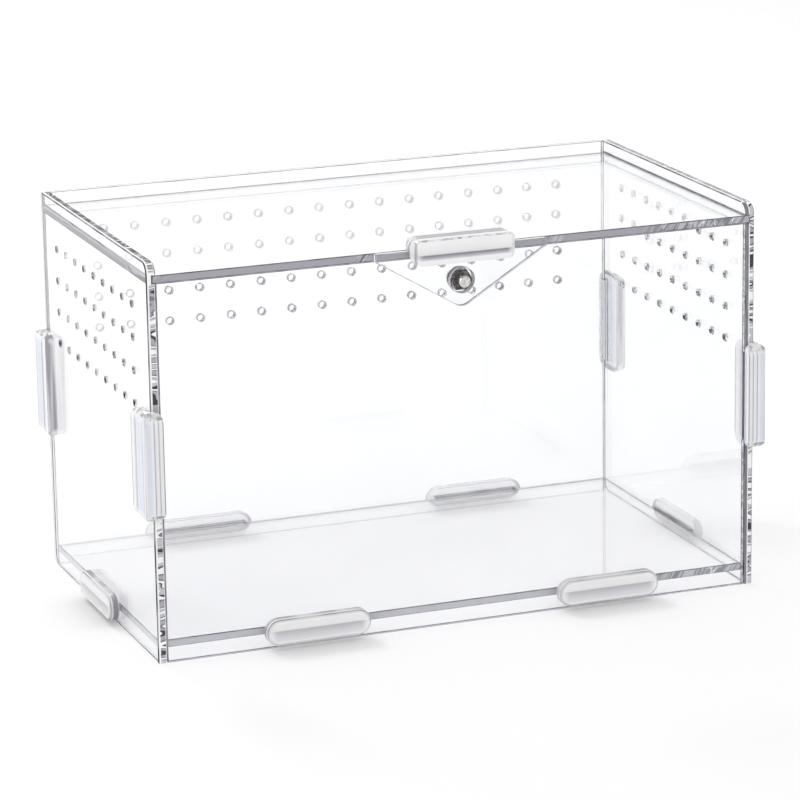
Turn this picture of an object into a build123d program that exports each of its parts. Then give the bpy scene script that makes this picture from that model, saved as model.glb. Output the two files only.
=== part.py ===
from build123d import *
import math
import os

# Clear acrylic enclosure for a small reptile. X runs right, Y to the back and Z up, in millimetres.
# Everything is modelled about the middle of the shell, and shifted by shell_shift at the export,
# so that the origin lies under the middle of the whole object, fittings included.

# Shell
width = 320.0
depth = 180.0
height = 200.0
side_thick = 5.0
wall_thick = 4.0
base_thick = 4.0
base_rise = 7.0
front_top_radius = 6.0
rear_top_radius = 1.5
rear_foot_radius = 6.0
edge_bevel = 0.6

# Sliding lid
lid_thick = 4.0
lid_drop = 6.0
lid_gap = 0.2
groove_depth = 2.4
groove_bite = 2.1
lid_end_gap = 0.3

# Vent holes
vent_diameter = 3.5
vent_sides = 8
vent_rows = 4
vent_row_pitch = 16.5
vent_top_drop = 25.0
back_vent_pitch = 17.0
back_vent_margin = 26.0
side_vent_pitch = 16.0
side_vent_margin = 24.0

# Joint clips, and the tabs that they cap
clip_length = 55.0
clip_thick = 5.0
clip_end_wall = 4.5
clip_edge_bevel = 1.2
tab_proud = 3.0
fit_gap = 0.15
base_clip_height = 14.0
base_clip_spacing = 156.0
corner_leg = 16.5
corner_leg_round = 6.5
corner_lip_round = 4.0
fold_radius = 2.0

# Hasp plate at the front of the lid, and the clip that joins the two
hasp_width = 90.0
hasp_drop = 30.0
hasp_thick = 4.0
hasp_gap = 0.3
hasp_tip_radius = 7.0
hasp_hole_diameter = 12.4
hasp_hole_drop = 17.0
hasp_clip_height = 13.0
hasp_clip_depth = 14.0
hasp_clip_round = 5.0

# Lock bolt in the front panel, with its washer and nut
bolt_diameter = 6.0
bolt_hole_gap = 0.2
bolt_proud = 3.7
bolt_end_bevel = 0.5
bolt_head_diameter = 10.5
bolt_head_height = 3.3
bolt_head_bevel = 1.4
hex_sides = 6
socket_across = 4.0
socket_depth = 2.0
washer_diameter = 12.0
washer_thick = 1.0
nut_across = 10.0
nut_thick = 3.0
nut_bevel = 0.5
nut_bore_gap = 0.075

# Worked out from the above
half_width = width / 2
half_depth = depth / 2
inner_half_width = half_width - side_thick
inner_half_depth = half_depth - wall_thick
base_middle = base_rise + base_thick / 2
lid_top = height - lid_drop
lid_bottom = lid_top - lid_thick
lid_front = -half_depth - hasp_gap
hasp_front = lid_front - hasp_thick
hasp_hole_height = lid_top - hasp_hole_drop
tab_length = clip_length - 2 * clip_end_wall
front_reach = -hasp_front + clip_thick
rear_reach = half_depth + clip_thick
shell_shift = (front_reach - rear_reach) / 2


def slab(low, high):
    """A box between two corners."""
    size = [b - a for a, b in zip(low, high)]
    return Pos(*low) * Box(*size, align=(Align.MIN, Align.MIN, Align.MIN))


def vent_cutters(plane, run, margin, pitch, length):
    """Cutters for a centred grid of vent holes, below the lid, across a wall of the given run.

    There are many vents, so each is a prism whose flats touch the round hole that it stands for.
    """
    columns = int((run - 2 * margin) / pitch) + 1
    grid_middle = height - vent_top_drop - vent_row_pitch * (vent_rows - 1) / 2
    grid = GridLocations(pitch, vent_row_pitch, columns, vent_rows)
    vent = RegularPolygon(vent_diameter / 2, vent_sides, major_radius=False)
    holes = Sketch() + [place * vent for place in grid]
    return extrude(plane * Pos(0, grid_middle) * holes, length, both=True)


def tab_slot(low, high):
    """The hole for a tab, larger than it by the fit's gap, square to the way the tab goes in."""
    grown_low = [a - fit_gap for a in low]
    grown_high = [b + fit_gap for b in high]
    return slab(grown_low, grown_high)


def wall_tab(side, rear):
    """The tab on a side end of the front or back panel, through the side panel and proud of it."""
    inside = inner_half_width
    outside = half_width + tab_proud
    tab_low = height / 2 - tab_length / 2
    tab_high = height / 2 + tab_length / 2
    near = half_depth if rear else -half_depth
    far = inner_half_depth if rear else -inner_half_depth
    span_x = sorted((side * inside, side * outside))
    span_y = sorted((near, far))
    return (span_x[0], span_y[0], tab_low), (span_x[1], span_y[1], tab_high)


def base_tab(wall, place):
    """The tab of the base under one clip: which wall it goes through, and where along that wall."""
    low_z = base_rise
    high_z = base_rise + base_thick
    along = (place - tab_length / 2, place + tab_length / 2)
    if wall in ("left", "right"):
        side = -1 if wall == "left" else 1
        span = sorted((side * inner_half_width, side * (half_width + tab_proud)))
        return (span[0], along[0], low_z), (span[1], along[1], high_z)
    side = -1 if wall == "front" else 1
    span = sorted((side * inner_half_depth, side * (half_depth + tab_proud)))
    return (along[0], span[0], low_z), (along[1], span[1], high_z)


base_joints = {
    "base_clip_front_left": ("front", -base_clip_spacing / 2),
    "base_clip_front_right": ("front", base_clip_spacing / 2),
    "base_clip_back_left": ("back", -base_clip_spacing / 2),
    "base_clip_back_right": ("back", base_clip_spacing / 2),
    "base_clip_left": ("left", 0.0),
    "base_clip_right": ("right", 0.0),
}


def side_panel(side):
    """A left (-1) or right (1) panel: vents, lid groove, tab notches and base slot."""
    outline = Plane.YZ * Pos(0, height / 2) * Rectangle(depth, height)
    front = outline.vertices().group_by(Axis.Y)[0]
    outline = fillet(front.sort_by(Axis.Z)[-1], front_top_radius)
    rear = outline.vertices().group_by(Axis.Y)[-1]
    outline = fillet(rear.sort_by(Axis.Z)[-1], rear_top_radius)
    rear = outline.vertices().group_by(Axis.Y)[-1]
    outline = fillet(rear.sort_by(Axis.Z)[0], rear_foot_radius)
    panel = extrude(outline, side_thick, dir=(1, 0, 0))
    rims = panel.faces().sort_by(Axis.X)[0].edges() + panel.faces().sort_by(Axis.X)[-1].edges()
    panel = chamfer(rims, edge_bevel)
    panel = Pos(inner_half_width if side > 0 else -half_width, 0, 0) * panel
    vents = vent_cutters(Plane.YZ, depth, side_vent_margin, side_vent_pitch, width)
    groove_x = sorted((side * inner_half_width, side * (inner_half_width + groove_depth)))
    groove_low = (groove_x[0], -depth, lid_bottom - lid_gap)
    groove_high = (groove_x[1], inner_half_depth, lid_top + lid_gap)
    panel -= vents
    panel -= slab(groove_low, groove_high)
    for rear_wall in (False, True):
        panel -= tab_slot(*wall_tab(side, rear_wall))
    panel -= tab_slot(*base_tab("left" if side < 0 else "right", 0.0))
    return panel


def front_panel():
    """The low front wall, up to the lid, with side tabs, base slots and the lock bolt's hole."""
    low = (-inner_half_width, -half_depth, 0)
    high = (inner_half_width, -inner_half_depth, lid_bottom - lid_gap)
    panel = slab(low, high)
    for side in (-1, 1):
        panel += slab(*wall_tab(side, False))
    for wall, place in base_joints.values():
        if wall == "front":
            panel -= tab_slot(*base_tab(wall, place))
    hole = Cylinder(bolt_diameter / 2 + bolt_hole_gap, depth, rotation=(90, 0, 0))
    return panel - Pos(0, -half_depth, hasp_hole_height) * hole


def back_panel():
    """The full-height back wall, with side tabs, base slots and its grid of vents."""
    panel = slab((-inner_half_width, inner_half_depth, 0), (inner_half_width, half_depth, height))
    for side in (-1, 1):
        panel += slab(*wall_tab(side, True))
    for wall, place in base_joints.values():
        if wall == "back":
            panel -= tab_slot(*base_tab(wall, place))
    run = 2 * inner_half_width
    return panel - vent_cutters(Plane.XZ, run, back_vent_margin, back_vent_pitch, depth)


def base_panel():
    """The raised floor between the walls, with a tab for each base clip."""
    low = (-inner_half_width, -inner_half_depth, base_rise)
    high = (inner_half_width, inner_half_depth, base_rise + base_thick)
    panel = slab(low, high)
    for wall, place in base_joints.values():
        panel += slab(*base_tab(wall, place))
    return panel


def base_clip(wall, place):
    """A stadium cap on the outside of a wall, with a pocket over the base's tab."""
    body = extrude(SlotOverall(clip_length, base_clip_height), clip_thick)
    body = chamfer(body.faces().sort_by(Axis.Z)[-1].edges(), clip_edge_bevel)
    pocket_size = (tab_length + 2 * fit_gap, base_thick + 2 * fit_gap, tab_proud + fit_gap)
    body -= Box(*pocket_size, align=(Align.CENTER, Align.CENTER, Align.MIN))
    seats = {
        "front": Plane((place, -half_depth, base_middle), x_dir=(1, 0, 0), z_dir=(0, -1, 0)),
        "back": Plane((place, half_depth, base_middle), x_dir=(-1, 0, 0), z_dir=(0, 1, 0)),
        "left": Plane((-half_width, place, base_middle), x_dir=(0, -1, 0), z_dir=(-1, 0, 0)),
        "right": Plane((half_width, place, base_middle), x_dir=(0, 1, 0), z_dir=(1, 0, 0)),
    }
    return seats[wall].location * body


def rounded_face(plane, centre, size, radius, reach):
    """A prism with rounded corners that trims the ends of an angled clip."""
    outline = plane * Pos(*centre) * RectangleRounded(*size, radius)
    return extrude(outline, reach, both=True)


def corner_clip(side, rear):
    """An angled clip on an upright corner, with a pocket over the wall's tab."""
    low_z = (height - clip_length) / 2
    outer_x = -half_width - clip_thick
    outer_y = -half_depth - clip_thick
    leg_end = -half_depth + corner_leg
    lip_end = -inner_half_width
    section = Polyline(
        (outer_x, outer_y),
        (lip_end, outer_y),
        (lip_end, -half_depth),
        (-half_width, -half_depth),
        (-half_width, leg_end),
        (outer_x, leg_end),
        close=True,
    )
    profile = make_face(section)
    fold = profile.vertices().sort_by(lambda v: v.X + v.Y)[0]
    profile = fillet(fold, fold_radius)
    body = extrude(Pos(0, 0, low_z) * profile, clip_length)
    leg_size = (leg_end - outer_y, clip_length)
    lip_size = (lip_end - outer_x, clip_length)
    leg_middle = ((leg_end + outer_y) / 2, height / 2)
    lip_middle = ((lip_end + outer_x) / 2, height / 2)
    body &= rounded_face(Plane.YZ, leg_middle, leg_size, corner_leg_round, width)
    body &= rounded_face(Plane.XZ, lip_middle, lip_size, corner_lip_round, width)
    body -= tab_slot(*wall_tab(-1, False))
    if side > 0:
        body = mirror(body, about=Plane.YZ)
    if rear:
        body = mirror(body, about=Plane.XZ)
    return body


def lid_panel():
    """The lid: its side edges run in the grooves, and its front edge carries the hasp."""
    reach = inner_half_width + groove_bite
    low = (-reach, lid_front, lid_bottom)
    high = (reach, inner_half_depth - lid_end_gap, lid_top)
    return slab(low, high)


def hasp_plate():
    """The pointed plate that hangs from the lid's front edge, with the hole for the lock bolt."""
    strip = Pos(0, -lid_thick / 2) * Rectangle(hasp_width, lid_thick)
    tip = Pos(0, -hasp_drop + hasp_tip_radius) * Circle(hasp_tip_radius)
    outline = make_hull(strip.edges() + tip.edges())
    outline -= Pos(0, -hasp_hole_drop) * Circle(hasp_hole_diameter / 2)
    seat = Plane((0, lid_front, lid_top), x_dir=(1, 0, 0), z_dir=(0, -1, 0))
    return extrude(seat * outline, hasp_thick)


def hasp_clip():
    """The angled clip over the lid's front edge and the top of the hasp."""
    outer_y = hasp_front - clip_thick
    outer_z = lid_top + lid_drop
    top_end = outer_y + hasp_clip_depth
    front_end = outer_z - hasp_clip_height
    section = Polyline(
        (outer_y, outer_z),
        (top_end, outer_z),
        (top_end, lid_top),
        (hasp_front, lid_top),
        (hasp_front, front_end),
        (outer_y, front_end),
        close=True,
    )
    profile = make_face(section)
    fold = profile.vertices().sort_by(lambda v: v.X - v.Y)[0]
    profile = fillet(fold, fold_radius)
    body = extrude(Plane.YZ * profile, clip_length / 2, both=True)
    top_middle = (0, (outer_y + top_end) / 2)
    front_middle = (0, (outer_z + front_end) / 2)
    body &= rounded_face(Plane.XY, top_middle, (clip_length, hasp_clip_depth), hasp_clip_round, width)
    return body & rounded_face(
        Plane.XZ, front_middle, (clip_length, hasp_clip_height), hasp_clip_round, width
    )


def on_bolt_axis(solid, start):
    """A turned piece, modelled along +Z, laid along -Y on the bolt's axis from the given Y."""
    seat = Plane((0, start, hasp_hole_height), x_dir=(1, 0, 0), z_dir=(0, -1, 0))
    return seat.location * solid


def lock_bolt():
    """The button-headed bolt, head inside, whose end passes through the hasp's hole."""
    head_start = -inner_half_depth + washer_thick + bolt_head_height
    shank_length = head_start - (hasp_front - bolt_proud)
    base_up = (Align.CENTER, Align.CENTER, Align.MIN)
    head = Cylinder(bolt_head_diameter / 2, bolt_head_height, align=base_up)
    head = chamfer(head.edges().sort_by(Axis.Z)[0], bolt_head_bevel)
    shank = Cylinder(bolt_diameter / 2, shank_length, align=base_up)
    shank = chamfer(shank.edges().sort_by(Axis.Z)[-1], bolt_end_bevel)
    bolt = head + shank
    socket_radius = socket_across / math.sqrt(3)
    bolt -= extrude(RegularPolygon(socket_radius, hex_sides), socket_depth)
    return on_bolt_axis(bolt, head_start)


def bolt_washer():
    """The washer between the bolt's head and the front panel."""
    ring = Circle(washer_diameter / 2) - Circle(bolt_diameter / 2 + bolt_hole_gap)
    return on_bolt_axis(extrude(ring, washer_thick), -inner_half_depth + washer_thick)


def lock_nut():
    """The hexagon nut on the outside of the front panel, inside the hasp's hole."""
    corner_radius = nut_across / math.sqrt(3)
    body = extrude(RegularPolygon(corner_radius, hex_sides), nut_thick)
    cone = Cylinder(corner_radius, nut_thick, align=(Align.CENTER, Align.CENTER, Align.MIN))
    body &= chamfer(cone.edges().sort_by(Axis.Z)[-1], nut_bevel)
    body -= Cylinder(bolt_diameter / 2 + nut_bore_gap, height)
    return on_bolt_axis(body, -half_depth)


nodes = {
    "base_panel": base_panel(),
    "front_panel": front_panel(),
    "back_panel": back_panel(),
    "left_panel": side_panel(-1),
    "right_panel": side_panel(1),
    "lid_panel": lid_panel(),
    "hasp_plate": hasp_plate(),
    "hasp_clip": hasp_clip(),
    "lock_bolt": lock_bolt(),
    "bolt_washer": bolt_washer(),
    "lock_nut": lock_nut(),
    "corner_clip_front_left": corner_clip(-1, False),
    "corner_clip_front_right": corner_clip(1, False),
    "corner_clip_rear_left": corner_clip(-1, True),
    "corner_clip_rear_right": corner_clip(1, True),
}
for clip_name, (clip_wall, clip_place) in base_joints.items():
    nodes[clip_name] = base_clip(clip_wall, clip_place)

os.makedirs("parts", exist_ok=True)
for node_name, node_solid in nodes.items():
    export_step(Pos(0, shell_shift, 0) * node_solid, f"parts/{node_name}.step")
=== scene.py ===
"""Dresses the clear acrylic enclosure and sets it on a pale studio floor."""

import logging
import math
from collections.abc import Callable, Iterable, Sequence
from dataclasses import dataclass, field
from enum import Enum, IntEnum

import bpy
from mathutils import Matrix, Vector


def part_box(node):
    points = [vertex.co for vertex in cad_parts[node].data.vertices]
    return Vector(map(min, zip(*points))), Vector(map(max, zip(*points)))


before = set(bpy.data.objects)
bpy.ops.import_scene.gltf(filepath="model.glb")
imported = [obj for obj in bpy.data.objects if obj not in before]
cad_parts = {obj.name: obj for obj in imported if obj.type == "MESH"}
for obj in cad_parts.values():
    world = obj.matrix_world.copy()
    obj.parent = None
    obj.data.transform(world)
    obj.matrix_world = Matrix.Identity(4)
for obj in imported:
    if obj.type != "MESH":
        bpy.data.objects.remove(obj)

LOG = logging.getLogger("enclosure")
MM = 0.001
ACRYLIC_IOR = 1.49

Colour = tuple[float, float, float]
Stop = tuple[float, Colour]

WHITE: Colour = (1.0, 1.0, 1.0)
BLACK: Colour = (0.0, 0.0, 0.0)
LAVENDER: Colour = (0.41, 0.405, 0.445)
SOFT_LAVENDER: Colour = (0.57, 0.565, 0.61)
INK: Colour = (0.03, 0.03, 0.035)
SMOKE: Colour = (0.27, 0.27, 0.3)
SLATE: Colour = (0.2, 0.2, 0.23)
PALE: Colour = (0.92, 0.92, 0.94)
MIST: Colour = (0.84, 0.87, 0.93)
SKY: Colour = (0.76, 0.81, 0.92)
HAZE: Colour = (0.86, 0.865, 0.88)
ASH: Colour = (0.74, 0.745, 0.77)
PEBBLE: Colour = (0.66, 0.66, 0.7)
DOVE: Colour = (0.6, 0.6, 0.64)
CLIP_SHADE: Colour = (0.45, 0.44, 0.44)


class Axis(Enum):
    """The frame's axes, by their index in a vector."""

    X = 0
    Y = 1
    Z = 2


class Side(Enum):
    """The side panels, each with the way that its outside looks along X."""

    LEFT = -1
    RIGHT = 1

    @property
    def node(self) -> str:
        """The panel's node.

        Returns:
            The node's name.
        """
        return f"{self.name.lower()}_panel"


class SideSlot(IntEnum):
    """A side panel's material slots. The last slot, for the bevel, follows these."""

    RIGHT_FACE = 0
    GROOVE = 1
    FRONT_EDGE = 2
    TOP_EDGE = 3
    VENT = 4
    CUT_EDGE = 5
    CHAMFER = 6
    LEFT_FACE = 7


class WallSlot(IntEnum):
    """The material slots of any other panel. The last slot, for the bevel, follows these."""

    FACE = 0
    EDGE = 1
    VENT = 2
    END = 3


class ArmSlot(IntEnum):
    """The material slots of an angled clip: its two arms, its narrow walls and its rim."""

    FIRST_ARM = 0
    SECOND_ARM = 1
    NARROW_WALL = 2
    RIM = 3


class LyingSlot(IntEnum):
    """The material slots of a clip that lies along the base. The pocket's walls share the rim's."""

    FACE = 0
    OUTER_WALL = 1
    RIM = 2


def rgba(colour: Colour) -> tuple[float, float, float, float]:
    """Adds a full alpha to a colour.

    Args:
        colour: The colour.

    Returns:
        The colour's four parts.
    """
    return (*colour, 1.0)


def grey(level: float) -> Colour:
    """A plain grey.

    Args:
        level: Its lightness, from 0 to 1.

    Returns:
        The colour.
    """
    return (level, level, level)


def even(cells: float) -> Vector:
    """The same count of noise cells along each axis.

    Args:
        cells: Cells to a metre.

    Returns:
        The count along each axis.
    """
    return Vector((cells, cells, cells))


def centre_of(low: Vector, high: Vector) -> Vector:
    """The middle of a box.

    Args:
        low: Its lowest corner.
        high: Its highest corner.

    Returns:
        The middle.
    """
    return (low + high) / 2


class Graph:
    """A node tree of a material or the world, with short calls that add nodes and join them."""

    def __init__(
        self,
        owner: bpy.types.Material | bpy.types.World,
        output: str = "ShaderNodeOutputMaterial",
    ) -> None:
        """Starts an empty tree.

        Args:
            owner: What the tree belongs to.
            output: The type of its output node.
        """
        self.owner = owner
        self.owner.use_nodes = True
        self.tree = self.owner.node_tree
        self.tree.nodes.clear()
        self.output = self.add(output)

    @classmethod
    def named(cls, name: str) -> "Graph":
        """Starts the tree of a new material.

        Args:
            name: The material's name.

        Returns:
            The empty tree.
        """
        return cls(bpy.data.materials.new(name))

    def add(self, kind: str, **settings: object) -> bpy.types.Node:
        """Adds a node.

        Args:
            kind: The node's type.
            settings: Properties to set on the node.

        Returns:
            The new node.
        """
        node = self.tree.nodes.new(kind)
        for key, value in settings.items():
            setattr(node, key, value)
        return node

    def join(self, source: bpy.types.NodeSocket, target: bpy.types.NodeSocket) -> None:
        """Joins two sockets.

        Args:
            source: The output socket.
            target: The input socket.
        """
        self.tree.links.new(source, target)

    def maths(self, operation: str, first: object, second: object = 0.0) -> bpy.types.NodeSocket:
        """Adds a Math node.

        Args:
            operation: The node's operation.
            first: A socket or a number.
            second: A socket or a number.

        Returns:
            The node's value socket.
        """
        node = self.add("ShaderNodeMath", operation=operation)
        for index, value in enumerate((first, second)):
            if isinstance(value, bpy.types.NodeSocket):
                self.join(value, node.inputs[index])
            else:
                node.inputs[index].default_value = value
        return node.outputs[0]

    def place(self, space: str, axis: Axis) -> bpy.types.NodeSocket:
        """One coordinate of the shaded point.

        Args:
            space: The Texture Coordinate output to read.
            axis: Which of its three numbers.

        Returns:
            The coordinate's socket.
        """
        source = self.add("ShaderNodeTexCoord")
        split = self.add("ShaderNodeSeparateXYZ")
        self.join(source.outputs[space], split.inputs[0])
        return split.outputs[axis.value]

    def noise(
        self, scale: Vector, detail: float = 2.0, slant: float = 0.0
    ) -> bpy.types.NodeSocket:
        """Soft noise in the object's own metres.

        Args:
            scale: Cells to a metre along each axis.
            detail: The noise's octaves.
            slant: How far the cells lean, turned about Y.

        Returns:
            The noise's factor socket.
        """
        source = self.add("ShaderNodeTexCoord")
        mapping = self.add("ShaderNodeMapping", vector_type="TEXTURE")
        mapping.inputs["Rotation"].default_value = (0.0, slant, 0.0)
        mapping.inputs["Scale"].default_value = [1.0 / cells for cells in scale]
        texture = self.add("ShaderNodeTexNoise")
        texture.inputs["Scale"].default_value = 1.0
        texture.inputs["Detail"].default_value = detail
        self.join(source.outputs["Object"], mapping.inputs[0])
        self.join(mapping.outputs[0], texture.inputs["Vector"])
        return texture.outputs["Fac"]

    def ramp(
        self, factor: bpy.types.NodeSocket, stops: Sequence[Stop], stepped: bool = False
    ) -> bpy.types.NodeSocket:
        """Adds a colour ramp.

        Args:
            factor: What drives the ramp, from 0 to 1.
            stops: Each stop's place and colour, in order.
            stepped: Whether the colours change in steps.

        Returns:
            The colour socket.
        """
        node = self.add("ShaderNodeValToRGB")
        node.color_ramp.interpolation = "CONSTANT" if stepped else "LINEAR"
        elements = node.color_ramp.elements
        while len(elements) < len(stops):
            elements.new(1.0)
        for element, (place, colour) in zip(elements, stops):
            element.position = place
            element.color = rgba(colour)
        self.join(factor, node.inputs[0])
        return node.outputs[0]

    def cloud(
        self,
        scale: Vector,
        colours: tuple[Colour, Colour],
        reach: tuple[float, float],
        detail: float = 2.0,
    ) -> bpy.types.NodeSocket:
        """Noise that runs softly from one colour to another.

        Args:
            scale: Cells to a metre along each axis.
            colours: The colours at the noise's low and high values.
            reach: The noise's values where the change starts and ends.
            detail: The noise's octaves.

        Returns:
            The colour socket.
        """
        return self.ramp(self.noise(scale, detail), tuple(zip(reach, colours)))

    def blend(
        self, mode: str, factor: object, first: object, second: object
    ) -> bpy.types.NodeSocket:
        """Mixes two colours.

        Args:
            mode: The blend type.
            factor: A socket or a number.
            first: The lower colour, as a socket or a colour.
            second: The upper colour, as a socket or a colour.

        Returns:
            The mixed colour's socket.
        """
        node = self.add("ShaderNodeMix", data_type="RGBA", blend_type=mode)
        for index, value in ((0, factor), (6, first), (7, second)):
            socket = node.inputs[index]
            if isinstance(value, bpy.types.NodeSocket):
                self.join(value, socket)
            elif isinstance(value, tuple):
                socket.default_value = rgba(value)
            else:
                socket.default_value = value
        return node.outputs[2]

    def mix_shaders(
        self, factor: bpy.types.NodeSocket, first: bpy.types.Node, second: bpy.types.Node
    ) -> None:
        """Sends a mix of two shaders to the output.

        Args:
            factor: How much of the second shader there is.
            first: The first shader.
            second: The second shader.
        """
        mix = self.add("ShaderNodeMixShader")
        self.join(factor, mix.inputs[0])
        self.join(first.outputs[0], mix.inputs[1])
        self.join(second.outputs[0], mix.inputs[2])
        self.join(mix.outputs[0], self.output.inputs[0])

    def seen_rays(self) -> bpy.types.NodeSocket:
        """Tells the rays that show a picture: seen straight, mirrored or through glass.

        Returns:
            A socket that is one for such a ray.
        """
        path = self.add("ShaderNodeLightPath")
        mirrored = self.maths(
            "MAXIMUM", path.outputs["Is Glossy Ray"], path.outputs["Is Transmission Ray"]
        )
        return self.maths("MAXIMUM", path.outputs["Is Camera Ray"], mirrored)

    def clear_shader(self, clear: float, roughness: float, ior: float) -> bpy.types.Node:
        """Adds a Principled node for clear plastic.

        Args:
            clear: How much of it is seen through.
            roughness: How much it blurs.
            ior: How much it bends light.

        Returns:
            The shader.
        """
        shader = self.add("ShaderNodeBsdfPrincipled")
        shader.inputs["Transmission Weight"].default_value = clear
        shader.inputs["Roughness"].default_value = roughness
        shader.inputs["IOR"].default_value = ior
        return shader

    def clear_finish(self, shader: bpy.types.Node, shade: Colour) -> bpy.types.Material:
        """Ends the tree with a shader that lets lamps and scattered light straight through.

        Args:
            shader: The Principled node.
            shade: The light that gets through the piece.

        Returns:
            The finished material.
        """
        path = self.add("ShaderNodeLightPath")
        lit = self.maths("MAXIMUM", path.outputs["Is Shadow Ray"], path.outputs["Is Diffuse Ray"])
        clear = self.add("ShaderNodeBsdfTransparent")
        clear.inputs[0].default_value = rgba(shade)
        self.mix_shaders(lit, shader, clear)
        return self.owner


@dataclass(frozen=True)
class VentRings:
    """Dark rings where light catches the rims of a centred grid of vents."""

    run: Axis
    columns: int
    pitch: float
    rows: int = 4
    row_pitch: float = 16.5 * MM
    row_middle: float = 150.25 * MM
    reach: float = 2.1 * MM
    stops: tuple[Stop, ...] = ((0.42, INK), (0.52, SMOKE), (0.6, PALE))
    cells: float = 330.0

    def mask(self, graph: Graph) -> bpy.types.NodeSocket:
        """One on the rings, nought elsewhere.

        Args:
            graph: The tree to add the nodes to.

        Returns:
            The mask's socket.
        """
        squares, inside = [], []
        for axis, middle, count, pitch in (
            (self.run, 0.0, self.columns, self.pitch),
            (Axis.Z, self.row_middle, self.rows, self.row_pitch),
        ):
            place = graph.maths("SUBTRACT", graph.place("Object", axis), middle)
            cells = graph.maths("ADD", graph.maths("DIVIDE", place, pitch), count % 2 / 2)
            part = graph.maths("SUBTRACT", graph.maths("FRACT", cells), 0.5)
            offset = graph.maths("MULTIPLY", part, pitch)
            squares.append(graph.maths("MULTIPLY", offset, offset))
            edge = graph.maths("ABSOLUTE", place)
            inside.append(graph.maths("LESS_THAN", edge, count * pitch / 2))
        near = graph.maths("LESS_THAN", graph.maths("ADD", *squares), self.reach**2)
        return graph.maths("MULTIPLY", near, graph.maths("MULTIPLY", *inside))


@dataclass(frozen=True)
class ClearSheet:
    """Polished acrylic on the broad faces of a sheet, with rings round its vents if it has any."""

    name: str = "clear_sheet"
    tint: Colour = (0.985, 0.988, 0.994)
    faint: Colour = (0.965, 0.969, 0.978)
    cells: float = 9.0
    reach: tuple[float, float] = (0.35, 0.65)
    clear: float = 1.0
    roughness: float = 0.0
    ior: float = ACRYLIC_IOR
    shade: Colour = (0.985, 0.985, 0.99)
    rings: VentRings | None = None

    def build(self) -> bpy.types.Material:
        """Makes the material.

        Returns:
            The material.
        """
        graph = Graph.named(self.name)
        shader = graph.clear_shader(self.clear, self.roughness, self.ior)
        colour = graph.cloud(even(self.cells), (self.faint, self.tint), self.reach)
        if self.rings:
            ring = graph.ramp(graph.noise(even(self.rings.cells)), self.rings.stops)
            colour = graph.blend("MIX", self.rings.mask(graph), colour, ring)
        graph.join(colour, shader.inputs["Base Color"])
        return graph.clear_finish(shader, self.shade)


@dataclass(frozen=True)
class Span:
    """A stretch of the frame along one axis, in metres."""

    axis: Axis
    low: float
    high: float

    def part(self, graph: Graph) -> bpy.types.NodeSocket:
        """How far along the span the shaded point is, from 0 to 1.

        Args:
            graph: The tree to add the nodes to.

        Returns:
            The part's socket.
        """
        start = graph.maths("SUBTRACT", graph.place("Object", self.axis), self.low)
        return graph.maths("DIVIDE", start, self.high - self.low)


@dataclass(frozen=True)
class SheetEdge:
    """The cut edge of a sheet, painted with the light that the sheet bends and reflects: bands
    across its thickness, and blocks of painted light and painted shade.
    """

    name: str
    across: Span
    bands: tuple[Stop, ...]
    zone: Span
    zone_stops: tuple[Stop, ...]
    block_cells: Vector
    blocks: tuple[Stop, ...]
    detail: float = 0.6
    slant: float = 0.0
    clear: float = 0.15
    roughness: float = 0.1
    ior: float = ACRYLIC_IOR
    shade: Colour = (0.8, 0.8, 0.82)

    def build(self) -> bpy.types.Material:
        """Makes the material.

        Returns:
            The material.
        """
        graph = Graph.named(self.name)
        shader = graph.clear_shader(self.clear, self.roughness, self.ior)
        bands = graph.ramp(self.across.part(graph), self.bands)
        cells = graph.noise(self.block_cells, self.detail, self.slant)
        blocks = graph.ramp(cells, self.blocks, stepped=True)
        zone = graph.ramp(self.zone.part(graph), self.zone_stops)
        graph.join(graph.blend("MIX", zone, bands, blocks), shader.inputs["Base Color"])
        return graph.clear_finish(shader, self.shade)


@dataclass(frozen=True)
class ClearGrey:
    """Clear plastic with a soft cloud of two greys in it."""

    name: str
    pale: Colour
    dark: Colour
    cells: Vector
    clear: float
    roughness: float = 0.1
    ior: float = ACRYLIC_IOR
    shade: Colour = (0.85, 0.85, 0.87)
    reach: tuple[float, float] = (0.38, 0.58)

    def build(self) -> bpy.types.Material:
        """Makes the material.

        Returns:
            The material.
        """
        graph = Graph.named(self.name)
        shader = graph.clear_shader(self.clear, self.roughness, self.ior)
        cloud = graph.cloud(self.cells, (self.dark, self.pale), self.reach)
        graph.join(cloud, shader.inputs["Base Color"])
        return graph.clear_finish(shader, self.shade)


@dataclass(frozen=True)
class MouldedClip:
    """Clear moulded plastic with a milky middle, and grey and white bands laid along the clip that
    are painted light: painted highlights, painted reflections and lines of painted shade.
    """

    name: str
    across: Axis
    along: Axis
    bands: tuple[Stop, ...]
    end_stops: tuple[Stop, ...] = ((0.04, WHITE), (0.1, BLACK), (0.9, BLACK), (0.96, WHITE))
    end_colour: Colour = (0.97, 0.975, 0.985)
    clear: float = 0.3
    roughness: float = 0.03
    ior: float = ACRYLIC_IOR
    milk: Colour = (0.96, 0.965, 0.98)
    cells: float = 60.0
    reach: tuple[float, float] = (0.3, 0.7)
    shade: Colour = CLIP_SHADE

    def build(self) -> bpy.types.Material:
        """Makes the material.

        Returns:
            The material.
        """
        graph = Graph.named(self.name)
        shader = graph.clear_shader(self.clear, self.roughness, self.ior)
        bands = graph.ramp(graph.place("Generated", self.across), self.bands)
        ends = graph.ramp(graph.place("Generated", self.along), self.end_stops)
        laid = graph.blend("MIX", ends, bands, self.end_colour)
        cloud = graph.cloud(even(self.cells), (self.milk, WHITE), self.reach)
        graph.join(graph.blend("MULTIPLY", 1.0, laid, cloud), shader.inputs["Base Color"])
        return graph.clear_finish(shader, self.shade)


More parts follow.
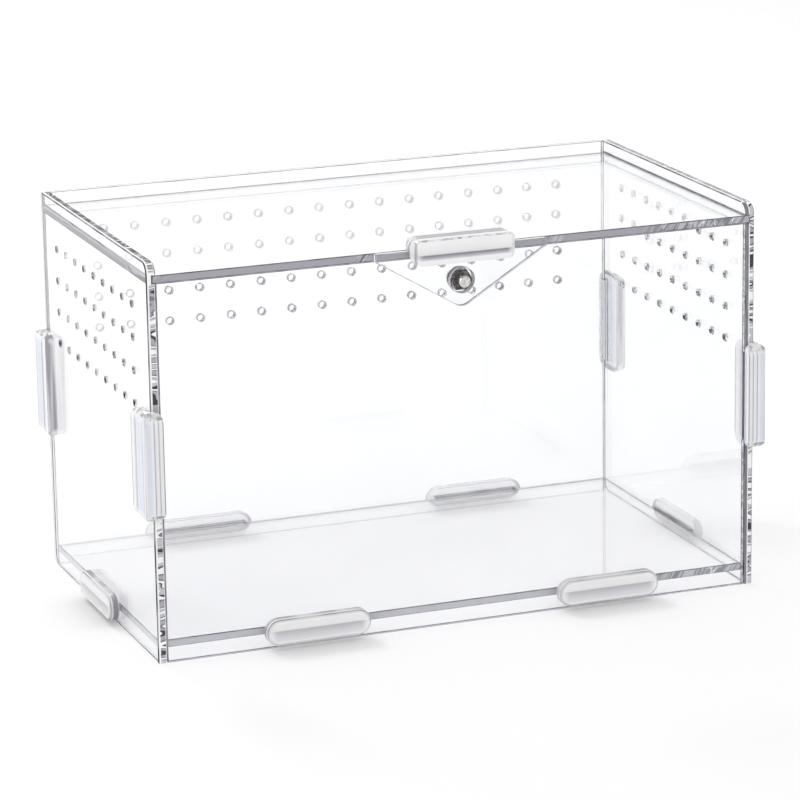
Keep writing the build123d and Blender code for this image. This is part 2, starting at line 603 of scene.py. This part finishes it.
@dataclass(frozen=True)
class NickelSteel:
    """Turned or rolled steel with a nickel finish."""

    name: str
    pale: Colour
    dark: Colour
    roughness: float = 0.22
    cells: float = 900.0
    detail: float = 4.0
    reach: tuple[float, float] = (0.35, 0.65)

    def build(self) -> bpy.types.Material:
        """Makes the material.

        Returns:
            The material.
        """
        graph = Graph.named(self.name)
        shader = graph.add("ShaderNodeBsdfPrincipled")
        shader.inputs["Metallic"].default_value = 1.0
        shader.inputs["Roughness"].default_value = self.roughness
        grain = graph.cloud(even(self.cells), (self.dark, self.pale), self.reach, self.detail)
        graph.join(grain, shader.inputs["Base Color"])
        graph.join(shader.outputs[0], graph.output.inputs[0])
        return graph.owner


@dataclass
class Piece:
    """One CAD node, the air gap round it, its soft edges and the finishes on its faces."""

    node: str
    air_gap: float = 0.05 * MM
    sharp_angle: float = math.radians(35)
    flat_angle: float = math.radians(1)

    @property
    def obj(self) -> bpy.types.Object:
        """The node's own object.

        Returns:
            The object.
        """
        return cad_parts[self.node]

    def dress(
        self,
        materials: Sequence[bpy.types.Material],
        choose: Callable[[Vector, Vector], int],
    ) -> None:
        """Lays the materials on the faces.

        Args:
            materials: The materials, in the order that choose counts them.
            choose: Gives a material's index from a face's normal and middle.
        """
        mesh = self.obj.data
        mesh.materials.clear()
        for material in materials:
            mesh.materials.append(material)
        for face in mesh.polygons:
            face.material_index = choose(face.normal, face.center)
        LOG.info("%s: %d faces, %d finishes", self.node, len(mesh.polygons), len(materials))

    def soften(self, width: float, segments: int, finish: int) -> None:
        """Leaves a hair of air round the piece and bevels its edges.

        Args:
            width: The bevel's width.
            segments: The bevel's steps.
            finish: The index of the bevel's material.
        """
        weld = self.obj.modifiers.new("joined_corners", "WELD")
        weld.merge_threshold = self.air_gap / 10
        merge = self.obj.modifiers.new("flat_faces", "DECIMATE")
        merge.decimate_type = "DISSOLVE"
        merge.angle_limit = self.flat_angle
        merge.delimit = {"MATERIAL"}
        shrink = self.obj.modifiers.new("air_gap", "DISPLACE")
        shrink.mid_level = 0.0
        shrink.strength = -self.air_gap
        bevel = self.obj.modifiers.new("soft_edges", "BEVEL")
        bevel.width = width
        bevel.segments = segments
        bevel.limit_method = "ANGLE"
        bevel.angle_limit = self.sharp_angle
        bevel.material = finish
        bevel.use_clamp_overlap = True


@dataclass
class SheetPanels:
    """The base and the four walls, cut from clear sheet."""

    sheet: ClearSheet = ClearSheet()
    base_sheet: ClearSheet = ClearSheet(
        name="clear_base", tint=(0.965, 0.965, 0.97), faint=(0.93, 0.93, 0.937)
    )
    side_sheet: ClearSheet = ClearSheet(
        name="clear_side", rings=VentRings(run=Axis.Y, columns=9, pitch=16.0 * MM)
    )
    back_sheet: ClearSheet = ClearSheet(
        name="clear_back", rings=VentRings(run=Axis.X, columns=16, pitch=17.0 * MM)
    )
    # The edge line, the faint line and the chamfer are painted shade: dark greys on the bevels and
    # the side panels' chamfers, where light bent at the sheet's arrises leaves them dark.
    line_grey: ClearGrey = ClearGrey("edge_line", SLATE, INK, cells=even(130.0), clear=0.1)
    faint_grey: ClearGrey = ClearGrey(
        "faint_line", SOFT_LAVENDER, SMOKE, cells=even(130.0), clear=0.3
    )
    chamfer_grey: ClearGrey = ClearGrey("chamfer", SMOKE, INK, cells=even(60.0), clear=0.1)
    wall_vent_grey: ClearGrey = ClearGrey(
        "wall_vent", WHITE, (0.9, 0.9, 0.92), cells=even(420.0), clear=0.9
    )
    side_vent_grey: ClearGrey = ClearGrey(
        "side_vent", WHITE, SOFT_LAVENDER, cells=even(500.0), clear=0.95
    )
    # How much the painted reflection blocks show along a front or base edge: a little at the left
    # end, most at the right.
    calm_breaks: tuple[Stop, ...] = (
        (0.0, grey(0.3)),
        (0.03, BLACK),
        (0.82, BLACK),
        (0.85, grey(0.9)),
    )
    flat_share: float = 0.9
    rim_share: float = 0.3
    rim_reach: float = 7.0 * MM
    skin: float = 1.0 * MM
    vent_margin: float = 8.0 * MM
    vent_low: float = 115.0 * MM
    line_width: float = 0.4 * MM
    block_slant: float = math.radians(35)
    plain_ior: float = 1.02
    top_ior: float = 1.15
    face: bpy.types.Material = field(init=False)
    line: bpy.types.Material = field(init=False)
    faint_line: bpy.types.Material = field(init=False)
    chamfer: bpy.types.Material = field(init=False)
    wall_vent: bpy.types.Material = field(init=False)
    side_vent: bpy.types.Material = field(init=False)

    def build(self) -> None:
        """Dresses every panel."""
        self.face = self.sheet.build()
        self.line = self.line_grey.build()
        self.faint_line = self.faint_grey.build()
        self.chamfer = self.chamfer_grey.build()
        self.wall_vent = self.wall_vent_grey.build()
        self.side_vent = self.side_vent_grey.build()
        for side in Side:
            self.dress_side(side)
        front_edge = self.broken_edge("front_panel", Axis.Y, self.calm_breaks)
        self.dress_wall("front_panel", Axis.Y, front_edge)
        back_edge = self.lined_edge("back_panel", Axis.Y)
        self.dress_wall("back_panel", Axis.Y, back_edge, self.back_sheet.build())
        base_edge = self.broken_edge("base_panel", Axis.Z, self.calm_breaks)
        self.dress_wall("base_panel", Axis.Z, base_edge, self.base_sheet.build())

    def span(self, node: str, axis: Axis) -> Span:
        """The node's whole reach along an axis.

        Args:
            node: The node.
            axis: The axis.

        Returns:
            The span.
        """
        low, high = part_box(node)
        return Span(axis, low[axis.value], high[axis.value])

    def broken_edge(
        self, node: str, across: Axis, breaks: tuple[Stop, ...]
    ) -> bpy.types.Material:
        """An edge of painted reflections: lavender with a darker line of painted shade along one
        side, broken in places by slanting blocks of painted light and painted shade.

        Args:
            node: The panel that the edge belongs to.
            across: The axis of the sheet's thickness.
            breaks: How much the blocks show, along the panel's width.

        Returns:
            The edge's material.
        """
        tone = SOFT_LAVENDER if node == "base_panel" else LAVENDER
        return SheetEdge(
            name=f"{node}_edge",
            across=self.span(node, across),
            bands=((0.0, SOFT_LAVENDER), (0.15, tone), (0.8, tone), (0.97, SLATE)),
            zone=self.span(node, Axis.X),
            zone_stops=breaks,
            block_cells=Vector((380.0, 30.0, 40.0)),
            blocks=(
                (0.0, SOFT_LAVENDER),
                (0.38, SLATE),
                (0.44, LAVENDER),
                (0.49, MIST),
                (0.51, SMOKE),
                (0.55, SOFT_LAVENDER),
                (0.6, SLATE),
            ),
            slant=self.block_slant,
        ).build()

    def busy_edge(self, side: Side) -> bpy.types.Material:
        """A side panel's front edge, full of short black, white and lavender blocks of painted
        reflection and painted shade.

        Args:
            side: The panel that the edge belongs to.

        Returns:
            The edge's material.
        """
        left = side is Side.LEFT
        pale_strips = ((0.0, SLATE), (0.1, PALE), (0.16, WHITE), (0.86, WHITE), (0.94, SLATE))
        dark_strip = ((0.0, SLATE), (0.36, SLATE), (0.42, WHITE), (0.95, SOFT_LAVENDER))
        start, stop = (0.26, 0.8) if left else (0.46, 0.88)
        fade = 0.05
        return SheetEdge(
            name=f"{side.node}_front_edge",
            across=self.span(side.node, Axis.X),
            bands=pale_strips if left else dark_strip,
            zone=self.span(side.node, Axis.X),
            zone_stops=((start, BLACK), (start + fade, WHITE), (stop, WHITE), (stop + fade, BLACK)),
            block_cells=Vector((35.0, 35.0, 165.0)),
            blocks=(
                (0.0, WHITE),
                (0.36, INK),
                (0.41, LAVENDER),
                (0.47, SLATE),
                (0.5, WHITE),
                (0.55, INK),
                (0.57, SOFT_LAVENDER),
                (0.63, WHITE),
            ),
        ).build()

    def painted_shade_top(self, side: Side) -> bpy.types.Material:
        """A side panel's top edge: a clear strip, and a strip of painted shade, mottled dark and
        blackest at the left.

        Args:
            side: The panel that the edge belongs to.

        Returns:
            The edge's material.
        """
        left = side is Side.LEFT
        darkest, softest = (INK, LAVENDER) if left else (SMOKE, SOFT_LAVENDER)
        return SheetEdge(
            name=f"{side.node}_top",
            across=self.span(side.node, Axis.X),
            bands=((0.0, SLATE), (0.1, PALE), (0.3, WHITE), (0.9, WHITE), (1.0, SLATE)),
            zone=self.span(side.node, Axis.X),
            zone_stops=((0.28, BLACK), (0.36, WHITE), (0.96, WHITE), (1.0, BLACK)),
            block_cells=Vector((90.0, 95.0, 90.0)),
            blocks=(
                (0.0, softest),
                (0.38, darkest),
                (0.45, PALE),
                (0.47, darkest),
                (0.54, SOFT_LAVENDER),
                (0.57, darkest),
            ),
            ior=self.top_ior,
        ).build()

    def lined_edge(self, node: str, across: Axis) -> bpy.types.Material:
        """A plain cut edge: pale and a little mottled with painted reflections, with a dark line of
        painted shade along each arris.

        Args:
            node: The panel that the edge belongs to.
            across: The axis of the sheet's thickness.

        Returns:
            The edge's material.
        """
        return SheetEdge(
            name=f"{node}_cut_edge",
            across=self.span(node, across),
            bands=(
                (0.0, INK),
                (0.22, SLATE),
                (0.26, PALE),
                (0.7, WHITE),
                (0.74, SLATE),
                (0.82, INK),
            ),
            zone=self.span(node, across),
            zone_stops=((0.3, BLACK), (0.5, grey(0.2)), (0.7, BLACK)),
            block_cells=Vector((70.0, 70.0, 70.0)),
            blocks=((0.0, PALE), (0.42, SLATE), (0.5, PALE), (0.6, LAVENDER)),
            ior=self.plain_ior,
        ).build()

    def painted_streak_edge(self, node: str) -> bpy.types.Material:
        """Painted grey streaks from front to back, painted reflections and painted shade for the
        routed groove and what runs in it.

        Args:
            node: The panel that the edge belongs to.

        Returns:
            The edge's material.
        """
        return SheetEdge(
            name=f"{node}_streaks",
            across=self.span("lid_panel", Axis.Z),
            bands=(
                (0.0, INK),
                (0.1, SMOKE),
                (0.2, SLATE),
                (0.32, LAVENDER),
                (0.42, INK),
                (0.5, LAVENDER),
                (0.66, SLATE),
                (0.74, SOFT_LAVENDER),
                (0.86, LAVENDER),
                (0.96, INK),
            ),
            zone=self.span(node, Axis.Y),
            zone_stops=((0.0, grey(0.5)), (1.0, grey(0.2))),
            block_cells=Vector((60.0, 25.0, 260.0)),
            blocks=((0.0, SLATE), (0.4, LAVENDER), (0.5, INK), (0.58, SOFT_LAVENDER)),
            ior=self.plain_ior,
        ).build()

    def vent_test(self, node: str, run: Axis) -> Callable[[Vector], bool]:
        """Makes the test for faces that lie among a panel's vents.

        Args:
            node: The panel's node.
            run: The axis of the panel's width.

        Returns:
            A test of a face's middle.
        """
        low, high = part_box(node)
        start = low[run.value] + self.vent_margin
        stop = high[run.value] - self.vent_margin
        top = high.z - 2 * self.vent_margin
        return lambda place: start < place[run.value] < stop and self.vent_low < place.z < top

    def dress_side(self, side: Side) -> None:
        """Dresses a side panel: broad faces, groove, edges and vents.

        Args:
            side: The panel.
        """
        low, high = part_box(side.node)
        finishes = (
            self.face,
            self.painted_streak_edge(side.node),
            self.busy_edge(side),
            self.painted_shade_top(side),
            self.side_vent,
            self.lined_edge(side.node, Axis.X),
            self.chamfer,
            self.side_sheet.build(),
            # The last finish, a line of painted shade, goes on the bevels.
            self.line,
        )
        in_vents = self.vent_test(side.node, Axis.Y)

        def choose(normal: Vector, place: Vector) -> SideSlot:
            """Sorts a face by the way it looks and where it lies."""
            if abs(normal.x) > self.flat_share:
                if low.x + self.skin < place.x < high.x - self.skin:
                    return SideSlot.GROOVE
                return SideSlot.LEFT_FACE if normal.x < 0 else SideSlot.RIGHT_FACE
            if abs(normal.x) > self.rim_share:
                return SideSlot.CHAMFER
            if place.y < low.y + self.rim_reach and normal.y < -self.rim_share:
                return SideSlot.FRONT_EDGE
            if place.z > high.z - self.rim_reach and normal.z > self.rim_share:
                return SideSlot.TOP_EDGE
            if place.y > high.y - self.rim_reach and normal.y > self.rim_share:
                return SideSlot.CUT_EDGE
            if place.z < low.z + self.skin:
                return SideSlot.CUT_EDGE
            return SideSlot.VENT if in_vents(place) else SideSlot.GROOVE

        piece = Piece(side.node)
        piece.dress(finishes, choose)
        piece.soften(self.line_width, 1, len(finishes) - 1)

    def dress_wall(
        self,
        node: str,
        thin: Axis,
        edge: bpy.types.Material,
        face: bpy.types.Material | None = None,
        ends: bpy.types.Material | None = None,
    ) -> None:
        """Dresses a plain panel: broad faces, edges, ends and vents.

        Args:
            node: The panel's node.
            thin: The axis of the sheet's thickness.
            edge: The edges' material.
            face: The material of the broad faces, or None for the clear sheet's.
            ends: The material of the side ends and the rear edge, or None for the edges'.
        """
        vented = node == "back_panel"
        # Every bevel gets a line of painted shade, fainter on the back panel and the hasp plate.
        line = self.faint_line if vented or node == "hasp_plate" else self.line
        finishes = (face or self.face, edge, self.wall_vent, ends or edge, line)
        in_vents = self.vent_test(node, Axis.X)

        def choose(normal: Vector, place: Vector) -> WallSlot:
            """Sorts a face by the way it looks and where it lies."""
            if abs(normal[thin.value]) > self.flat_share:
                return WallSlot.FACE
            if vented and in_vents(place):
                return WallSlot.VENT
            at_end = abs(normal.x) > self.flat_share or normal.y > self.flat_share
            return WallSlot.END if at_end else WallSlot.EDGE

        piece = Piece(node)
        piece.dress(finishes, choose)
        piece.soften(self.line_width, 1, len(finishes) - 1)


@dataclass
class ClipTrim:
    """The finishes that the clips share, painted with light: rounded rim, plain narrow wall and
    streaked one.
    """

    rim: bpy.types.Material
    wall: bpy.types.Material
    end: bpy.types.Material

    @classmethod
    def make(cls) -> "ClipTrim":
        """Makes the three materials.

        Returns:
            The trim.
        """
        # The rim's white is a painted highlight, the wall's greys are painted shade and the end's
        # streaks are painted reflections.
        kinds = (
            ("clip_rim", WHITE, (0.94, 0.945, 0.955), even(90.0), 0.5, 0.03),
            ("clip_wall", SOFT_LAVENDER, SMOKE, even(70.0), 0.3, 0.05),
            ("clip_end", WHITE, LAVENDER, Vector((420.0, 420.0, 12.0)), 0.4, 0.03),
        )
        return cls(*(ClearGrey(*kind, shade=CLIP_SHADE).build() for kind in kinds))


@dataclass
class SlidingLid:
    """The lid, the hasp at its front edge and the clip that joins them."""

    edge_round: float = 1.2 * MM
    round_steps: int = 4
    # How much the painted reflection blocks show along the lid's front edge: short breaks either
    # side of the hasp, more towards the ends.
    breaks: tuple[Stop, ...] = (
        (0.0, grey(0.3)),
        (0.03, BLACK),
        (0.325, BLACK),
        (0.335, WHITE),
        (0.352, WHITE),
        (0.36, BLACK),
        (0.645, BLACK),
        (0.655, WHITE),
        (0.67, WHITE),
        (0.68, BLACK),
        (0.8, BLACK),
        (0.86, grey(0.85)),
    )
    # Painted bands on the hasp clip's front: a grey strip of painted reflection, where the lid's
    # edge shows through, across the white.
    front_bands: tuple[Stop, ...] = (
        (0.0, WHITE),
        (0.2, WHITE),
        (0.26, SOFT_LAVENDER),
        (0.4, SMOKE),
        (0.44, WHITE),
        (1.0, WHITE),
    )
    # Painted bands on the hasp clip's top: a dark line and a grey band of painted shade, where the
    # lid's far edge shows through.
    top_bands: tuple[Stop, ...] = (
        (0.0, WHITE),
        (0.28, WHITE),
        (0.3, INK),
        (0.38, LAVENDER),
        (0.74, SMOKE),
        (0.8, WHITE),
    )

    def build(self, panels: SheetPanels, trim: ClipTrim) -> None:
        """Dresses the lid's pieces.

        Args:
            panels: The panels, whose finishes the lid shares.
            trim: The finishes of the clip's rim and narrow walls.
        """
        edge = panels.broken_edge("lid_panel", Axis.Z, self.breaks)
        ends = panels.painted_streak_edge("lid_panel")
        panels.dress_wall("lid_panel", Axis.Z, edge, ends=ends)
        panels.dress_wall("hasp_plate", Axis.Y, panels.lined_edge("hasp_plate", Axis.Y))
        front = MouldedClip("hasp_clip_front", Axis.Z, Axis.X, self.front_bands).build()
        top = MouldedClip("hasp_clip_top", Axis.Y, Axis.X, self.top_bands).build()
        flat = panels.flat_share

        def choose(normal: Vector, place: Vector) -> ArmSlot:
            """Sorts a face: the front is the first arm and the top the second."""
            if abs(normal.z) > flat:
                return ArmSlot.SECOND_ARM
            return ArmSlot.FIRST_ARM if abs(normal.y) > flat else ArmSlot.NARROW_WALL

        piece = Piece("hasp_clip")
        piece.dress((front, top, trim.end, trim.rim), choose)
        piece.soften(self.edge_round, self.round_steps, ArmSlot.RIM)


@dataclass
class JointClips:
    """The moulded clips over the tabs of the sheets."""

    edge_round: float = 1.3 * MM
    round_steps: int = 4
    flat_share: float = 0.9
    pocket_share: float = 0.8
    # Painted light on the clips that lie along the base, bottom to top: a dark outline, white
    # painted highlights, a greying band of painted shade, white again and a lavender line.
    lying_bands: tuple[Stop, ...] = (
        (0.0, SLATE),
        (0.05, PALE),
        (0.14, WHITE),
        (0.22, HAZE),
        (0.4, ASH),
        (0.56, DOVE),
        (0.59, WHITE),
        (0.95, WHITE),
        (1.0, LAVENDER),
    )
    # Painted light on the base clips seen through the box: dark outlines of painted shade at both
    # ends, white bands of painted highlight and a lavender line of painted shade over a bluish-white
    # body.
    far_bands: tuple[Stop, ...] = (
        (0.0, INK),
        (0.07, WHITE),
        (0.2, WHITE),
        (0.26, LAVENDER),
        (0.32, WHITE),
        (0.5, MIST),
        (0.75, WHITE),
        (0.92, WHITE),
        (1.0, INK),
    )
    # Painted light on an upright clip's leg: white bands of painted highlight, bluish bands, grey
    # lines of painted shade and a dark outline at one end.
    leg_bands: tuple[Stop, ...] = (
        (0.0, WHITE),
        (0.1, WHITE),
        (0.16, SOFT_LAVENDER),
        (0.2, MIST),
        (0.5, SKY),
        (0.6, MIST),
        (0.64, LAVENDER),
        (0.72, PEBBLE),
        (0.82, WHITE),
        (0.93, WHITE),
        (1.0, INK),
    )
    # Painted light on an upright clip's lip: bluish bands, white bands of painted highlight, grey
    # lines of painted shade and a dark outline at one end.
    lip_bands: tuple[Stop, ...] = (
        (0.0, WHITE),
        (0.1, SKY),
        (0.34, MIST),
        (0.4, WHITE),
        (0.48, WHITE),
        (0.51, SMOKE),
        (0.56, PALE),
        (0.7, WHITE),
        (0.74, LAVENDER),
        (0.8, PALE),
        (0.92, WHITE),
        (1.0, INK),
    )
    near_clear: float = 0.3
    far_clear: float = 0.85

    def build(self, trim: ClipTrim) -> None:
        """Dresses every clip.

        Args:
            trim: The finishes of the clips' rims and narrow walls.
        """
        for node in sorted(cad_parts):
            if node in ("base_clip_left", "base_clip_right"):
                self.dress_lying(node, Axis.X, Axis.Y, trim)
            elif node.startswith("base_clip"):
                self.dress_lying(node, Axis.Y, Axis.X, trim)
            elif node.startswith("corner_clip"):
                self.dress_corner(node, trim)

    def dress_lying(self, node: str, thin: Axis, along: Axis, trim: ClipTrim) -> None:
        """Dresses a clip that lies along the base, clearer where it is seen through the box.

        Args:
            node: The clip's node.
            thin: The axis of the clip's thickness.
            along: The axis of the clip's length.
            trim: The finishes of its rim and narrow walls.
        """
        low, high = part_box(node)
        middle, radius = centre_of(low, high), (high.z - low.z) / 2
        straight = (high[along.value] - low[along.value]) / 2 - radius
        far = node == "base_clip_right" or node.startswith("base_clip_back")
        bands = self.far_bands if far else self.lying_bands
        clear = self.far_clear if far else self.near_clear
        finish = MouldedClip(f"{node}_face", Axis.Z, along, bands, clear=clear).build()

        def choose(normal: Vector, place: Vector) -> LyingSlot:
            """Sorts a face: on a far clip every narrow wall is as clear as the rim."""
            if abs(normal[thin.value]) > self.flat_share:
                return LyingSlot.FACE
            reach = abs(place[along.value] - middle[along.value])
            pocket = abs(place.z - middle.z) < self.pocket_share * radius
            in_pocket = pocket and reach < straight
            return LyingSlot.RIM if far or in_pocket else LyingSlot.OUTER_WALL

        piece = Piece(node)
        piece.dress((finish, trim.wall, trim.rim), choose)
        piece.soften(self.edge_round, self.round_steps, LyingSlot.RIM)

    def dress_corner(self, node: str, trim: ClipTrim) -> None:
        """Dresses an upright clip, with its bands counted from the fold outwards.

        Args:
            node: The clip's node.
            trim: The finishes of its rim and narrow walls.
        """
        low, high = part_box(node)
        middle = centre_of(low, high)
        rear, right = middle.y > 0, middle.x > 0
        clear = self.far_clear if rear and right else self.near_clear
        leg_bands, lip_bands = turned(self.leg_bands, rear), turned(self.lip_bands, right)
        leg = MouldedClip(f"{node}_leg", Axis.Y, Axis.Z, leg_bands, clear=clear).build()
        lip = MouldedClip(f"{node}_lip", Axis.X, Axis.Z, lip_bands, clear=clear).build()
        inward = -1.0 if rear else 1.0
        leg_end = low.y if rear else high.y

        def choose(normal: Vector, place: Vector) -> ArmSlot:
            """Sorts a face: the leg is the first arm and the lip the second."""
            if abs(normal.x) > self.flat_share:
                return ArmSlot.FIRST_ARM
            at_leg_end = normal.y * inward > 0 and abs(place.y - leg_end) < self.edge_round
            on_lip = abs(normal.y) > self.flat_share and not at_leg_end
            return ArmSlot.SECOND_ARM if on_lip else ArmSlot.NARROW_WALL

        piece = Piece(node)
        piece.dress((leg, lip, trim.end, trim.rim), choose)
        piece.soften(self.edge_round, self.round_steps, ArmSlot.RIM)


def turned(stops: tuple[Stop, ...], reverse: bool) -> tuple[Stop, ...]:
    """A ramp's stops, from the other end if asked.

    Args:
        stops: The stops in order.
        reverse: Whether to count from the other end.

    Returns:
        The stops, in order again.
    """
    return tuple((1.0 - place, colour) for place, colour in reversed(stops)) if reverse else stops


@dataclass
class LockHardware:
    """The bolt, its washer and its nut."""

    bright_steel: NickelSteel = NickelSteel("bright_nickel", (0.8, 0.79, 0.77), (0.5, 0.49, 0.47))
    dark_steel: NickelSteel = NickelSteel("dark_nickel", (0.2, 0.19, 0.18), (0.03, 0.03, 0.03))

    def build(self) -> None:
        """Dresses the bolt, the washer and the nut."""
        bright, dark = self.bright_steel.build(), self.dark_steel.build()
        for node, finish in (("lock_bolt", bright), ("bolt_washer", bright), ("lock_nut", dark)):
            Piece(node).dress((finish,), lambda normal, place: 0)


@dataclass(frozen=True)
class SoftLamp:
    """A square lamp that faces the enclosure: its place, its side in metres and its watts."""

    name: str
    place: Vector
    size: float
    power: float


@dataclass
class Studio:
    """The floor, the lights, the world and the camera."""

    camera_place: Vector = Vector((-0.69734, -1.83741, 0.62454))
    yaw: float = math.radians(20.821)
    pitch: float = math.radians(15.115)
    roll: float = math.radians(-0.928)
    lens: float = 178.03
    floor_reach: float = 12.0
    floor_colour: Colour = (0.8, 0.8, 0.8)
    floor_shade: float = 0.99
    floor_cells: float = 3.0
    floor_spread: tuple[float, float] = (0.3, 0.7)
    floor_lift: float = 0.04
    sky_zenith: Colour = (0.62, 0.62, 0.67)
    sky_spread: tuple[float, float] = (0.35, 0.6)
    sky_fill: float = 1.0
    lamp_target: Vector = Vector((0.0, 0.0, 0.1))
    rear_lamp: SoftLamp = SoftLamp("rear_lamp", Vector((-0.5, 1.6, 1.5)), 0.6, 16.0)
    left_lamp: SoftLamp = SoftLamp("left_lamp", Vector((-2.0, -1.2, 1.4)), 1.2, 8.0)

    def build(self) -> None:
        """Makes the whole studio."""
        self.add_camera()
        self.add_floor()
        self.add_world()
        self.add_lamps()
        bpy.context.scene.view_settings.view_transform = "Standard"

    def add_camera(self) -> None:
        """Adds the camera at the photo's angle."""
        forward = Vector(
            (
                math.sin(self.yaw) * math.cos(self.pitch),
                math.cos(self.yaw) * math.cos(self.pitch),
                -math.sin(self.pitch),
            )
        )
        level = Vector((math.cos(self.yaw), -math.sin(self.yaw), 0.0))
        up = level.cross(forward)
        right = math.cos(self.roll) * level + math.sin(self.roll) * up
        above = -math.sin(self.roll) * level + math.cos(self.roll) * up
        turn = Matrix((right, above, -forward)).transposed()
        data = bpy.data.cameras.new("studio_camera")
        data.lens = self.lens
        data.clip_end = self.floor_reach * 10
        camera = bpy.data.objects.new("studio_camera", data)
        camera.matrix_world = Matrix.Translation(self.camera_place) @ turn.to_4x4()
        bpy.context.scene.collection.objects.link(camera)
        bpy.context.scene.camera = camera

    def add_floor(self) -> None:
        """Adds the pale floor, which keeps the object's shadow."""
        graph = Graph.named("studio_floor")
        shader = graph.add("ShaderNodeBsdfPrincipled")
        shader.inputs["Roughness"].default_value = 1.0
        shader.inputs["Specular IOR Level"].default_value = 0.0
        shader.inputs["Emission Color"].default_value = rgba(WHITE)
        darker = tuple(self.floor_shade * part for part in self.floor_colour)
        colours = (darker, self.floor_colour)
        mottle = graph.cloud(even(self.floor_cells), colours, self.floor_spread)
        graph.join(mottle, shader.inputs["Base Color"])
        lift = graph.maths("MULTIPLY", graph.seen_rays(), self.floor_lift)
        graph.join(lift, shader.inputs["Emission Strength"])
        graph.join(shader.outputs[0], graph.output.inputs[0])
        mesh = bpy.data.meshes.new("studio_floor")
        reach = self.floor_reach
        corners = [(-reach, -reach, 0), (reach, -reach, 0), (reach, reach, 0), (-reach, reach, 0)]
        mesh.from_pydata(corners, [], [(0, 1, 2, 3)])
        mesh.materials.append(graph.owner)
        floor = bpy.data.objects.new("studio_floor", mesh)
        bpy.context.scene.collection.objects.link(floor)

    def add_world(self) -> None:
        """Adds the sky: white at the horizon where it is seen, greyer overhead, and a soft fill."""
        graph = Graph(bpy.data.worlds.new("studio_sky"), "ShaderNodeOutputWorld")
        bpy.context.scene.world = graph.owner
        seen = graph.add("ShaderNodeBackground")
        colours = tuple(zip(self.sky_spread, (WHITE, self.sky_zenith)))
        graph.join(graph.ramp(graph.place("Generated", Axis.Z), colours), seen.inputs[0])
        fill = graph.add("ShaderNodeBackground")
        fill.inputs[0].default_value = rgba(WHITE)
        fill.inputs[1].default_value = self.sky_fill
        graph.mix_shaders(graph.seen_rays(), fill, seen)

    def add_lamps(self) -> None:
        """Adds the main lamp, behind and above, and a broader, weaker one at the left."""
        for kind in (self.rear_lamp, self.left_lamp):
            data = bpy.data.lights.new(kind.name, "AREA")
            data.size = kind.size
            data.energy = kind.power
            lamp = bpy.data.objects.new(kind.name, data)
            lamp.location = kind.place
            lamp.rotation_euler = (self.lamp_target - kind.place).to_track_quat("-Z", "Y").to_euler()
            bpy.context.scene.collection.objects.link(lamp)


def main() -> None:
    """Builds the scene's classes in order."""
    logging.basicConfig(level=logging.INFO, format="%(message)s")
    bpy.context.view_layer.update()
    trim = ClipTrim.make()
    panels = SheetPanels()
    panels.build()
    SlidingLid().build(panels, trim)
    JointClips().build(trim)
    LockHardware().build()
    Studio().build()


if __name__ == "__main__":
    main()
